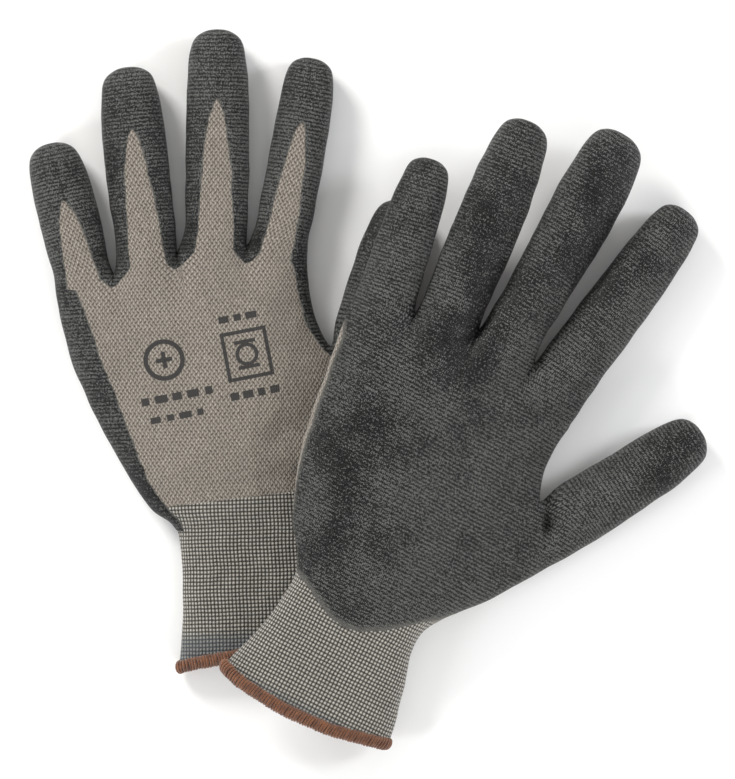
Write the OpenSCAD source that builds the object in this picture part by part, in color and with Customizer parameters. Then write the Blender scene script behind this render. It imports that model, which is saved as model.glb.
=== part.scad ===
// A pair of knitted work gloves with dipped palms and fingers, laid flat.
// The lower glove lies palm down, and the upper one palm up with one edge on it.
// Each glove is drawn with its wrist at the origin, its fingers along +Y and its
// thumb towards +X, and is then placed on the table. Each finger is cut into
// stiff lengths, so that it can fold over its upper side.

/* [Pair] */
// Wrist of the lower glove on the table, x and y
lower_wrist = [-42.2, -47.3]; // [-90:0.1:0]
// Turn of the lower glove to the left, in degrees
lower_turn = 2; // [0:0.5:5]
// Wrist of the upper glove on the table, x and y
upper_wrist = [-0.9, -80.8]; // [-90:0.1:20]
// Turn of the upper glove to the right, in degrees
upper_turn = 28; // [26:0.5:32]
// Lift of the upper glove where it lies on the lower one
lift = 16.4; // [16:0.1:19]
// Slope of the upper glove from there down to the table
lean = 0.25; // [0.24:0.01:0.3]
// Where the upper glove comes down to the table, across from its wrist
lean_foot = 44; // [42:1:48]

/* [Layers] */
// Thickness of the knitted liner
liner_wall = 0.9; // [0.6:0.1:1.2]
// Thickness of the dipped coating
coating_wall = 0.5; // [0.4:0.1:0.8]
// Air between two layers
layer_gap = 0.1; // [0.05:0.05:0.2]
// How far the coating leaves the back of a finger bare, as a share of its width
window_share = 0.62; // [0.5:0.01:0.7]

/* [Lower glove fingers] */
// Little finger: base x, base y, splay, length, width, height
lower_little = [-64.2, 90, -11.8, 56.5, 22.6, 14.5]; // [-90:0.1:120]
// Ring finger: base x, base y, splay, length, width, height
lower_ring = [-38.6, 97.5, -3.9, 77, 23.2, 15]; // [-90:0.1:120]
// Middle finger: base x, base y, splay, length, width, height
lower_middle = [-12.3, 101.5, 2.8, 86.4, 23.2, 15]; // [-90:0.1:120]
// Index finger: base x, base y, splay, length, width, height
lower_index = [11, 99, 13.6, 78.6, 20.8, 14.5]; // [-90:0.1:120]
// Thumb: base x, base y, splay, length, width, height
lower_thumb = [43.5, 62, 19, 58, 24.6, 11.5]; // [-90:0.1:120]

/* [Upper glove fingers] */
// Little finger: base x, base y, splay, length, width, height
upper_little = [-46.2, 101, -11, 61.6, 21.4, 14.5]; // [-90:0.1:120]
// Ring finger: base x, base y, splay, length, width, height
upper_ring = [-22.5, 107, -6, 86, 23.8, 15.5]; // [-90:0.1:120]
// Middle finger: base x, base y, splay, length, width, height
upper_middle = [1.6, 110, 2.2, 95, 24.2, 16]; // [-90:0.1:120]
// Index finger: base x, base y, splay, length, width, height
upper_index = [27.2, 106, 9.3, 86, 23, 15]; // [-90:0.1:120]
// Thumb: base x, base y, splay, length, width, height
upper_thumb = [55.5, 65, 29.6, 60, 26, 16]; // [-90:0.1:120]

/* [Finger joints] */
// Gap between the hand and a finger
base_gap = 3; // [2.8:0.1:3.6]
// Gap between the two lengths of a finger
middle_gap = 2.4; // [2.2:0.1:3]
// Place of the second gap, as a share of the finger's length
middle_share = 0.5; // [0.45:0.01:0.55]
// Length of the bare patch on the back of a finger, as a share of its length
window_reach = 0.68; // [0.6:0.01:0.75]
// The same on a thumb
thumb_window_reach = 0.62; // [0.58:0.01:0.7]

/* [Cuff] */
// Where the hand's fine knit changes to the cuff's elastic knit
cuff_start = 7; // [5:0.5:9]
// Length of the lower cuff below the wrist, in its middle
lower_cuff = 57; // [50:1:60]
// Length of the upper cuff below the wrist, in its middle
upper_cuff = 52; // [48:1:56]
// Height of the hem's cord along the cuff
hem_height = 4; // [3:0.1:5]
// Thickness of the hem's cord
hem_width = 2.4; // [2:0.1:2.8]
// Number of elastic threads in a cuff
elastic_threads = 5; // [3:1:6]

/* [Hidden] */
FINGERS = ["little", "ring", "middle", "index"];

// The two gloves, as the first index of the lists below
LOWER = 0;
UPPER = 1;
DIGITS = [
    [lower_little, lower_ring, lower_middle, lower_index, lower_thumb],
    [upper_little, upper_ring, upper_middle, upper_index, upper_thumb],
];
THUMB = 4;

// Outline of each hand from hem to fingers: along, left edge, right edge, height
HANDS = [
    [
        [-62, -34.5, 36, 9], [-48, -32, 33, 8.8], [-30, -31, 32, 9], [-12, -31.5, 31, 10],
        [-2, -37, 31, 12], [7, -43.5, 33, 14], [20, -52, 38, 15], [33, -58.6, 46, 15],
        [45, -63.5, 49, 14.5], [53, -66.5, 44, 14.5], [61, -69, 31, 15], [75, -72, 25, 15],
        [96, -75.5, 20.5, 14.5],
    ],
    [
        [-58, -39, 37, 11], [-44, -31, 32, 10.5], [-30, -29.5, 30.5, 11], [-14, -28, 27, 12],
        [-3, -28, 24.5, 13], [7, -34, 28.5, 14.5], [17, -41, 37.5, 16], [33, -46.5, 49.5, 17],
        [42, -48.5, 57, 17], [50, -50, 57, 17], [60, -51.5, 49, 17], [68, -52.5, 41.5, 17],
        [85, -55, 36, 16.5], [104, -57.5, 37.5, 15.5],
    ],
];
CUFFS = [lower_cuff, upper_cuff];
// How much further along the mouth of the cuff lies at its two sides
MOUTH_BOW = [-5, 6.5];
// Edge of the palm's coating over the wrist, from side to side: across, along
WRIST_EDGE = [[-48, 12], [-28, 1], [-16, -8], [-2, -13], [12, -7], [25, 2], [40, 14]];
// Coating left on the edge of the hand's back, beside the little finger
EDGE_BAND = [[-6, 1], [8, 3], [20, 6], [45, 9.5], [70, 9], [90, 6]];
// Coating left on the other edge of the back
INNER_BAND = 2.5;
// Height in the hand from which its back is cut bare
BACK_CUT = 7.5;

// Points round a hand, a finger, the hem's cord and an elastic thread
HAND_SIDES = 32;
FINGER_SIDES = 16;
HEM_SIDES = 8;
THREAD_SIDES = 4;
// How square the sections of the hand and of a finger are: 2 is an ellipse
HAND_SQUARE = 3;
FINGER_SQUARE = 2.4;
// Width of a finger along its length, as a share of its own, and of a thumb's root before it
FINGER_TAPER = [[-0.3, 0.85], [0, 0.93], [0.5, 1.03], [1, 0.93]];
// Angles of the rows over a rounded fingertip
TIP_ROWS = [0, 28, 52, 72];
THREAD_WIDTH = 0.5;
// Gap between the hand's knit and the cuff's, which run on into each other
CUFF_GAP = 0.2;
// How softly the upper glove bends at both ends of its slope
LEAN_ROUND = 2.5;
// How far the hem's cord stands out past the cuff
HEM_PROUD = 0.5;
COATING_IN = layer_gap;
COATING_OUT = layer_gap + coating_wall;
// A cutter reaches this far past what it cuts
PAST = 6;
TALL = 60;

LINER_COLOUR = "#8d857b";
COATING_COLOUR = "#26272a";
CUFF_COLOUR = "#84837d";
ELASTIC_COLOUR = "#d8d6cf";
HEM_COLOUR = "#7a3f1c";
PRINT_COLOUR = "#2c2b2a";

// ---- points on a glove's surface ----

// A value that turns smoothly to 0 where it would be negative
function soft(v) = (v + sqrt(v * v + LEAN_ROUND * LEAN_ROUND)) / 2;
// Lift of the upper glove at x: level on the lower glove, then down to the table
function rise(glove, x) =
    glove == LOWER ? 0 : lift - soft(lift - soft(lean * (lean_foot - x)));
// A rounded section from -1 to 1 each way, at angle a
function section(a, square) =
    [cos(a), sign(sin(a)) * pow(1 - pow(abs(cos(a)), square), 1 / square)];
function column(rows, k) = [for (row = rows) [row[0], row[k]]];
// The side that a glove's back is on: up or down
function back(glove) = glove == LOWER ? 1 : -1;

// Middle and half width of a hand at y
function hand_middle(glove, y) =
    (lookup(y, column(HANDS[glove], 1)) + lookup(y, column(HANDS[glove], 2))) / 2;
function hand_half(glove, y) =
    (lookup(y, column(HANDS[glove], 2)) - lookup(y, column(HANDS[glove], 1))) / 2;
function hand_height(glove, y) = lookup(y, column(HANDS[glove], 3));
// A point on the hand or cuff at y and angle a, grown outwards by g and moved along by shift
function hand_point(glove, y, a, g, shift = 0) =
    let (
        q = section(a, HAND_SQUARE),
        x = hand_middle(glove, y) + (hand_half(glove, y) + g) * q.x,
        half = hand_height(glove, y) / 2
    )
    [x, y + shift, COATING_OUT + half + (half + g) * q.y + rise(glove, x)];
// The line across the base of the finger nearest to x
function finger_line(glove, x) =
    let (
        fingers = [for (k = [0 : THUMB - 1]) DIGITS[glove][k]],
        far = [for (f = fingers) abs(x - f.x)],
        f = fingers[search(min(far), far)[0]]
    )
    f.y - (x - f.x) * tan(f[2]);

function digit_width(f, s) = f[4] * lookup(s / f[3], FINGER_TAPER);
// Where the round of a fingertip starts, for a surface grown by g
function tip_start(f, g) = f[3] + g - (f[4] / 2 + g);
// How much of its full section a finger has at s
function tip_share(f, s, g) =
    s <= tip_start(f, g) ? 1
    : sqrt(max(0, 1 - pow((s - tip_start(f, g)) / (f[3] + g - tip_start(f, g)), 2)));
// A point on a finger, s along it at angle a, grown outwards by g
function digit_point(glove, f, s, a, g) =
    let (
        q = section(a, FINGER_SQUARE),
        share = tip_share(f, s, g),
        across = (digit_width(f, s) / 2 + g) * share * q.x,
        x = f.x + sin(f[2]) * s + cos(f[2]) * across,
        y = f.y + cos(f[2]) * s - sin(f[2]) * across
    )
    [x, y, COATING_OUT + f[5] / 2 + (f[5] / 2 + g) * share * q.y + rise(glove, x)];

// Half width of the bare patch at s, as a share of the finger's half width
function window_half(f, s, reach) = window_share * pow(max(0, 1 - pow(s / (reach * f[3]), 2)), 0.6);
// Where the bare patch ends, at a place across the finger
function window_end(f, across, reach) =
    reach * f[3] * sqrt(1 - pow(min(1, abs(across) / window_share), 1 / 0.6));

// ---- solids made from rows of points ----

function flat(rows) = [for (row = rows) each row];
function two(a, b, c, d, flip) = flip ? [[a, b, c], [a, c, d]] : [[a, c, b], [a, d, c]];
// Triangles between the rows of a grid, n points a row, joined round if closed
function grid(rows, n, closed, first, flip) =
    [for (j = [0 : rows - 2])
        for (i = [0 : n - (closed ? 1 : 2)])
            let (a = first + j * n + i, b = first + j * n + (i + 1) % n)
            each two(a, b, b + n, a + n, flip)];
// Triangles that join a row of one grid to the same row of the other
function rim(n, closed, a0, b0, flip) =
    [for (i = [0 : n - (closed ? 1 : 2)])
        let (k = (i + 1) % n)
        each two(a0 + i, b0 + i, b0 + k, a0 + k, flip)];
// Triangles that join a row to one point
function cone(n, first, tip, flip) =
    [for (i = [0 : n - 1])
        let (k = (i + 1) % n)
        flip ? [first + i, first + k, tip] : [first + i, tip, first + k]];

// A tube's wall, open at both ends
module sleeve(outer, inner) {
    n = len(outer[0]);
    rows = len(outer);
    count = n * rows;
    polyhedron(
        [each flat(outer), each flat(inner)],
        [
            each grid(rows, n, true, 0, true),
            each grid(rows, n, true, count, false),
            each rim(n, true, 0, count, true),
            each rim(n, true, count - n, 2 * count - n, false),
        ]
    );
}

// A fingertip's wall, open at its first row
module thimble(outer, inner, outer_tip, inner_tip) {
    n = len(outer[0]);
    rows = len(outer);
    count = n * rows;
    polyhedron(
        [each flat(outer), each flat(inner), outer_tip, inner_tip],
        [
            each grid(rows, n, true, 0, true),
            each grid(rows, n, true, count, false),
            each rim(n, true, 0, count, true),
            each cone(n, count - n, 2 * count, true),
            each cone(n, 2 * count - n, 2 * count + 1, false),
        ]
    );
}

// A bent plate between two grids, with an edge all round
module plate(outer, inner) {
    n = len(outer[0]);
    rows = len(outer);
    count = n * rows;
    side_a = [for (j = [0 : rows - 2])
        each two(j * n, (j + 1) * n, count + (j + 1) * n, count + j * n, true)];
    side_b = [for (j = [0 : rows - 2])
        let (k = j * n + n - 1)
        each two(k, k + n, count + k + n, count + k, false)];
    polyhedron(
        [each flat(outer), each flat(inner)],
        [
            each grid(rows, n, false, 0, true),
            each grid(rows, n, false, count, false),
            each rim(n, false, 0, count, true),
            each rim(n, false, count - n, 2 * count - n, false),
            each side_a,
            each side_b,
        ]
    );
}

// A solid through closed rows, with flat ends
module loft(rows) {
    n = len(rows[0]);
    count = n * len(rows);
    first_middle = [for (k = [0 : 2]) sum([for (p = rows[0]) p[k]]) / n];
    last_middle = [for (k = [0 : 2]) sum([for (p = rows[len(rows) - 1]) p[k]]) / n];
    polyhedron(
        [each flat(rows), first_middle, last_middle],
        [
            each grid(len(rows), n, true, 0, true),
            each cone(n, 0, count, false),
            each cone(n, count - n, count + 1, true),
        ]
    );
}
function sum(values) = [for (v = values) 1] * values;

// A closed ring through sections that follow each other round
module ring(sections) {
    n = len(sections[0]);
    rows = len(sections);
    polyhedron(
        flat(sections),
        [for (j = [0 : rows - 1])
            for (i = [0 : n - 1])
                let (a = j * n + i, b = j * n + (i + 1) % n, c = ((j + 1) % rows) * n)
                each two(a, b, c + (i + 1) % n, c + i, false)]
    );
}

// ---- placing ----

module place(glove) {
    turn = glove == LOWER ? lower_turn : -upper_turn;
    wrist = glove == LOWER ? lower_wrist : upper_wrist;
    translate([wrist.x, wrist.y, 0])
        rotate([0, 0, turn])
            children();
}

// ---- hand ----

function hand_angles() = [for (i = [0 : HAND_SIDES - 1]) i * 360 / HAND_SIDES];
HAND_ROWS = [0, 0.07, 0.17, 0.3, 0.42, 0.53, 0.64, 0.8, 1];
CUFF_ROWS = [0, 0.15, 0.4, 0.7, 1];
// A row round the hand, t of the way from the cuff to the fingers, and then past them
function hand_row(glove, t, g, past) =
    [for (a = hand_angles())
        let (
            end = DIGITS[glove][0].y,
            p = hand_point(glove, cuff_start + t * (end - cuff_start), a, g),
            reach = finger_line(glove, p.x) - base_gap - cuff_start
        )
        [p.x, cuff_start + t * reach + past, p.z]];
// A row round the cuff, t of the way from the hand to its mouth
function cuff_row(glove, t, g, past) =
    let (
        start = cuff_start - CUFF_GAP,
        y = start - t * (start + CUFFS[glove])
    )
    [for (a = hand_angles()) hand_point(glove, y, a, g, t * MOUTH_BOW[glove] * pow(cos(a), 2) + past)];
function digit_angles() = [for (i = [0 : FINGER_SIDES - 1]) i * 360 / FINGER_SIDES];
function digit_row(glove, f, s, g) = [for (a = digit_angles()) digit_point(glove, f, s, a, g)];

// The hand and the root of the thumb as one solid, grown by g and longer by past,
// with the start of the cuff where the coating runs on over it
module hand_solid(glove, g, past, over_cuff) {
    loft([
        each over_cuff
            ? [for (k = [2 : -1 : 0]) cuff_row(glove, CUFF_ROWS[k], g, k == 2 ? -past : 0)]
            : [],
        each !over_cuff && past > 0 ? [hand_row(glove, 0, g, -past)] : [],
        for (t = HAND_ROWS) hand_row(glove, t, g, 0),
        each past > 0 ? [hand_row(glove, 1, g, past)] : [],
    ]);
    root = [-25, -10, -base_gap, each past > 0 ? [past - base_gap] : []];
    loft([for (s = root) digit_row(glove, DIGITS[glove][THUMB], s, g)]);
}

module hand_liner(glove) {
    color(LINER_COLOUR)
        place(glove)
            difference() {
                hand_solid(glove, 0, 0, false);
                hand_solid(glove, -liner_wall, PAST, false);
            }
}

// A cutter over the bare part of the back, from the middle of the hand's height outwards
module bare_back(glove) {
    far = back(glove) * TALL;
    ys = [-30, each [for (row = EDGE_BAND) row[0]], 2 * TALL];
    outline = [for (y = ys)
        let (
            left = hand_middle(glove, y) - hand_half(glove, y) + lookup(y, EDGE_BAND),
            right = hand_middle(glove, y) + hand_half(glove, y) - INNER_BAND
        )
        [for (u = [0 : 0.1 : 1.01]) [right + u * (left - right), y]]];
    inside = [for (row = outline) [for (p = row) [p.x, p.y, COATING_OUT + BACK_CUT + rise(glove, p.x)]]];
    outside = [for (row = inside) [for (p = row) p + [0, 0, far]]];
    if (glove == LOWER)
        plate(outside, inside);
    else
        plate(inside, outside);
}

module hand_coating(glove) {
    color(COATING_COLOUR)
        place(glove)
            difference() {
                hand_solid(glove, COATING_OUT, 0, true);
                hand_solid(glove, COATING_IN, PAST, true);
                bare_back(glove);
                // bare wrist
                translate([0, 0, -1])
                    linear_extrude(TALL)
                        polygon([
                            [-TALL, WRIST_EDGE[0].y + PAST],
                            each WRIST_EDGE,
                            [TALL, WRIST_EDGE[0].y + PAST],
                            [TALL, -TALL],
                            [-TALL, -TALL],
                        ]);
            }
}

// ---- cuff ----

module cuff(glove) {
    color(CUFF_COLOUR)
        place(glove)
            sleeve(
                [for (k = [len(CUFF_ROWS) - 1 : -1 : 0]) cuff_row(glove, CUFF_ROWS[k], 0, 0)],
                [for (k = [len(CUFF_ROWS) - 1 : -1 : 0]) cuff_row(glove, CUFF_ROWS[k], -liner_wall, 0)]
            );
}

// A cord round the cuff at t, thick outwards and high along the cuff
module cuff_cord(glove, t, g, along, thick, high, sides) {
    middle = cuff_row(glove, t, g, along);
    outside = cuff_row(glove, t, g + 1, along);
    place(glove)
        ring([for (k = [0 : HAND_SIDES - 1])
            let (out = outside[k] - middle[k])
            [for (i = [0 : sides - 1])
                let (b = (i + 0.5) * 360 / sides)
                middle[k] + out * thick / 2 * cos(b) / norm(out) + [0, high / 2 * sin(b), 0]]]);
}

module cuff_elastic(glove) {
    color(ELASTIC_COLOUR)
        for (k = [1 : elastic_threads])
            cuff_cord(glove, k / (elastic_threads + 1), -liner_wall - 2 * layer_gap - THREAD_WIDTH / 2, 0,
                THREAD_WIDTH, THREAD_WIDTH, THREAD_SIDES);
}

module hem(glove) {
    color(HEM_COLOUR)
        cuff_cord(glove, 1, HEM_PROUD - hem_width / 2, -hem_height / 2 - layer_gap,
            hem_width, hem_height, HEM_SIDES);
}

// ---- print on the back: a ring for the size mark, a frame and two bars ----

// The surface of the hand's back above x and y, moved outwards by g
function back_point(glove, x, y, g) =
    let (
        q = (x - hand_middle(glove, y)) / hand_half(glove, y),
        half = hand_height(glove, y) / 2,
        up = pow(1 - pow(abs(q), HAND_SQUARE), 1 / HAND_SQUARE)
    )
    [x, y, COATING_OUT + half + back(glove) * (half * up + g) + rise(glove, x)];
PRINT_IN = 0.15;
PRINT_OUT = 0.35;
RING_STEPS = 20;
// Middle of the size ring and of the frame, and the sizes of the marks
PRINT_RING = [-26, 55];
PRINT_FRAME = [-2, 57];
PRINT_RING_OUT = 7;
PRINT_LINE = 1.2;
PRINT_FRAME_SIZE = [12, 14];
PRINT_BAR = [20, 2.4];
PRINT_BARS = [[-27, 43], [-3, 44]];

// A rectangle of print, from low to high corner
module print_bar(glove, low, high) {
    xs = [low.x, (low.x + high.x) / 2, high.x];
    ys = glove == LOWER ? [high.y, low.y] : [low.y, high.y];
    plate(
        [for (y = ys) [for (x = xs) back_point(glove, x, y, PRINT_OUT)]],
        [for (y = ys) [for (x = xs) back_point(glove, x, y, PRINT_IN)]]
    );
}

module print_ring(glove) {
    angles = [for (i = [0 : RING_STEPS - 1]) i * 360 / RING_STEPS * back(glove)];
    inner = PRINT_RING_OUT - PRINT_LINE;
    corners = [
        [PRINT_RING_OUT, PRINT_OUT],
        [PRINT_RING_OUT, PRINT_IN],
        [inner, PRINT_IN],
        [inner, PRINT_OUT],
    ];
    ring([for (a = angles)
        [for (c = corners)
            let (p = PRINT_RING + c[0] * [cos(a), sin(a)])
            back_point(glove, p.x, p.y, c[1])]]);
}

module size_print(glove) {
    w = PRINT_FRAME_SIZE.x / 2;
    h = PRINT_FRAME_SIZE.y / 2;
    color(PRINT_COLOUR)
        place(glove) {
            print_ring(glove);
            for (side = [-1, 1]) {
                x = PRINT_FRAME.x + side * (w - PRINT_LINE / 2);
                print_bar(glove, [x - PRINT_LINE / 2, PRINT_FRAME.y - h + PRINT_LINE * 1.2],
                    [x + PRINT_LINE / 2, PRINT_FRAME.y + h - PRINT_LINE * 1.2]);
                y = PRINT_FRAME.y + side * (h - PRINT_LINE / 2);
                print_bar(glove, [PRINT_FRAME.x - w, y - PRINT_LINE / 2],
                    [PRINT_FRAME.x + w, y + PRINT_LINE / 2]);
            }
            for (at = PRINT_BARS)
                print_bar(glove, at - PRINT_BAR / 2, at + PRINT_BAR / 2);
        }
}

// ---- fingers ----

function cut_at(f) = middle_share * f[3];
function reach_of(k) = k == THUMB ? thumb_window_reach : window_reach;

// Liner of a finger between two places along it
module base_liner(glove, k, from, to) {
    f = DIGITS[glove][k];
    places = [from, (from + to) / 2, to];
    color(LINER_COLOUR)
        place(glove)
            sleeve(
                [for (s = places) digit_row(glove, f, s, 0)],
                [for (s = places) digit_row(glove, f, s, -liner_wall)]
            );
}

// Rows of a fingertip that start at one place for each angle
function tip_rows(glove, f, starts, g) =
    let (
        first = tip_start(f, g),
        round = f[3] + g - first,
        angles = digit_angles()
    )
    [
        for (t = [0, 0.5])
            [for (i = [0 : FINGER_SIDES - 1])
                digit_point(glove, f, starts[i] + t * (first - starts[i]), angles[i], g)],
        for (b = TIP_ROWS) digit_row(glove, f, first + round * sin(b), g),
    ];
function tip_point(glove, f, g) = digit_point(glove, f, f[3] + g, 0, g);

module tip_wall(glove, f, starts, out, in) {
    place(glove)
        thimble(
            tip_rows(glove, f, starts, out),
            tip_rows(glove, f, starts, in),
            tip_point(glove, f, out),
            tip_point(glove, f, in)
        );
}

module tip_liner(glove, k, from) {
    color(LINER_COLOUR)
        tip_wall(glove, DIGITS[glove][k], [for (a = digit_angles()) from], 0, -liner_wall);
}

// Coating of a fingertip, which starts further along over the bare back
module tip_coating(glove, k, from) {
    f = DIGITS[glove][k];
    starts = [for (a = digit_angles())
        back(glove) * sin(a) > 0 ? max(from, window_end(f, cos(a), reach_of(k))) : from];
    color(COATING_COLOUR)
        tip_wall(glove, f, starts, COATING_OUT, COATING_IN);
}

// Coating round the palm side of a finger, between two places along it
module base_coating(glove, k, from, to) {
    f = DIGITS[glove][k];
    places = [from, (2 * from + to) / 3, (from + 2 * to) / 3, to];
    color(COATING_COLOUR)
        place(glove)
            plate(channel_rows(glove, f, places, reach_of(k), COATING_OUT),
                channel_rows(glove, f, places, reach_of(k), COATING_IN));
}
// Rows round the palm side from one edge of the bare back to the other. Between the
// two edges the points lie over those of the liner
function channel_rows(glove, f, places, reach, g) =
    [for (s = places)
        let (
            open = acos(window_half(f, s, reach)),
            first = glove == LOWER ? 180 - open : -open,
            last = first + 180 + 2 * open
        )
        [for (a = [first, each CHANNEL_ANGLES[glove], last]) digit_point(glove, f, s, a, g)]];
CHANNEL_ANGLES = [for (start = [135, -45]) [for (i = [0 : 12]) start + i * 360 / FINGER_SIDES]];

// ---- one line for each node ----

module glove_nodes(glove, name) {
    hand_liner(glove);
    hand_coating(glove);
    cuff(glove);
    cuff_elastic(glove);
    hem(glove);
    size_print(glove);
}

module finger_nodes(glove, k, name) {
    cut = cut_at(DIGITS[glove][k]);
    half = middle_gap / 2;
    base_liner(glove, k, 0, cut - half);
    base_coating(glove, k, 0, cut - half);
    tip_liner(glove, k, cut + half);
    tip_coating(glove, k, cut + half);
}

glove_nodes(LOWER, "lower");
glove_nodes(UPPER, "upper");
for (k = [0 : 3]) {
    finger_nodes(LOWER, k, str("lower_", FINGERS[k]));
    finger_nodes(UPPER, k, str("upper_", FINGERS[k]));
}
finger_nodes(UPPER, THUMB, "upper_thumb");
tip_liner(LOWER, THUMB, 0);  // lower_thumb_liner
tip_coating(LOWER, THUMB, 0);  // lower_thumb_coating
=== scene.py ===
import math
import random

import bmesh
import bpy
import numpy as np
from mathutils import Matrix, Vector, noise
from mathutils.bvhtree import BVHTree


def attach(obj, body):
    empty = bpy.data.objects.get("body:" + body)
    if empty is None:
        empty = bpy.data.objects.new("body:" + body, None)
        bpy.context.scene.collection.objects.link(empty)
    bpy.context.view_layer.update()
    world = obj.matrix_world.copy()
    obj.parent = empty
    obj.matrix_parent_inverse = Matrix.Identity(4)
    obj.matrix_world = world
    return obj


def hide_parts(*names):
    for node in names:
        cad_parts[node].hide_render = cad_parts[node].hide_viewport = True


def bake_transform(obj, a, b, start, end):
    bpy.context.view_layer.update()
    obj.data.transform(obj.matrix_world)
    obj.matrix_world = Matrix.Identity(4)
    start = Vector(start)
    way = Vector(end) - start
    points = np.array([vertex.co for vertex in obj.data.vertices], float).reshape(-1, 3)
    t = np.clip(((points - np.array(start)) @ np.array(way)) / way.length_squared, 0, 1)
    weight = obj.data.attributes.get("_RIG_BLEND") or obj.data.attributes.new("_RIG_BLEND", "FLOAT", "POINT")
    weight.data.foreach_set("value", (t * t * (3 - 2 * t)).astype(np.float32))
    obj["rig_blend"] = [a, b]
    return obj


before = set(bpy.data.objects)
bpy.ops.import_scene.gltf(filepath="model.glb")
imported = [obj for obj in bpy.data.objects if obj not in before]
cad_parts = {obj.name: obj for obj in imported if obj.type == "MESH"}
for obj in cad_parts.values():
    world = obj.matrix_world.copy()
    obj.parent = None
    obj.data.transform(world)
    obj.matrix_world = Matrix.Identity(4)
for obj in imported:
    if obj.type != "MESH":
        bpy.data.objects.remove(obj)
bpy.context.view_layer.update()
random.seed(7)
mm = 0.001

# One glove each, in mm from the middle of its wrist, fingers along +y and thumb towards +x.
# rows: along, left edge, right edge, height. fingers: base, splay, length, height, widths
# from base to tip, and how far the bare patch on the back reaches.
lowerGlove = {
    "name": "lower",
    "wrist": (-42.2, -47.3),
    "turn": 2,
    "palmUp": False,
    "mouth": ((-36, -60), (-28, -58), (-8, -55), (20, -56), (36, -59)),
    "cuffRows": (
        (-54, -33.6, 35, 8.8), (-46, -32.4, 34, 8.7), (-37, -31.4, 33, 8.6), (-28, -31.2, 32, 8.7),
        (-19, -31.4, 31.5, 9), (-10, -31.2, 31, 9.8), (-2, -34.5, 30.5, 11.5),
    ),
    "rows": (
        (6, -42.5, 33, 13.2), (14, -49.2, 36, 14.4), (22, -54, 40, 14.8), (31, -58, 45, 15),
        (39, -61.8, 49, 14.6), (47, -65, 47, 14.4), (55, -67.6, 39, 14.6), (63, -70.4, 31.5, 14.8),
        (72, -72.4, 26, 15), (83, -74.2, 23.5, 15), (93, -75.6, 21.8, 14.8),
    ),
    "tilt": 4.5,
    "thumbRows": (3, 7),
    "webs": ((-75.6, 91), (-53.6, 93.4), (-29.4, 101), (-1.9, 103.8), (21.2, 94)),
    "fingers": (
        {"name": "little", "base": (-65.2, 91), "splay": -12, "length": 56.3, "height": 14.2,
         "widths": (21, 22.8, 22.6, 20.6), "bend": 0.5, "reach": 0.58, "share": 0.66},
        {"name": "ring", "base": (-39.4, 97), "splay": -4.4, "length": 78, "height": 15,
         "widths": (22.4, 24, 24.2, 22.2), "bend": -0.6, "reach": 0.68, "share": 0.68},
        {"name": "middle", "base": (-13.4, 101.5), "splay": 2.4, "length": 86.8, "height": 15,
         "widths": (23, 24.2, 23.8, 22.4), "bend": 0.3, "reach": 0.68, "share": 0.70},
        {"name": "index", "base": (10, 98.5), "splay": 12.4, "length": 79, "height": 14.2,
         "widths": (20.4, 20.8, 20.6, 19.6), "bend": 0.8, "reach": 0.67, "share": 0.66},
    ),
    "thumb": {"name": "thumb", "base": (42.6, 62), "splay": 17.6, "length": 59.5, "height": 11.6,
              "widths": (25.5, 25, 23.5, 20), "bend": 0, "reach": 0.6, "share": 0.5},
    "edgeBand": ((-8, 1), (8, 3.2), (20, 6.4), (45, 9.8), (70, 9.2), (88, 6)),
    "innerBand": 2.6,
    "wristEdge": ((-90, -7), (-30, -7), (-16, -9), (-2, -13), (12, -7), (25, 2), (40, 14), (90, 14)),
    # dents in the upper side: from, to, depth, width
    "dents": (
        ((-62, 88), (-46, 86), 0.5, 4), ((-48, 92), (-30, 96), 0.45, 4), ((-24, 97), (-4, 99), 0.45, 4),
        ((2, 96), (18, 90), 0.45, 4), ((-50, 92), (-40, 60), 0.6, 6), ((-28, 98), (-24, 62), 0.6, 6),
        ((-2, 100), (-6, 60), 0.6, 6), ((-40, 8), (26, 14), 0.7, 4), ((-58, 34), (-30, 26), 0.5, 5),
        ((8, 30), (34, 44), 0.8, 6), ((-33, -8), (-10, -4), 0.6, 3), ((-32, -30), (-16, -27), 0.5, 3),
    ),
}

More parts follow.
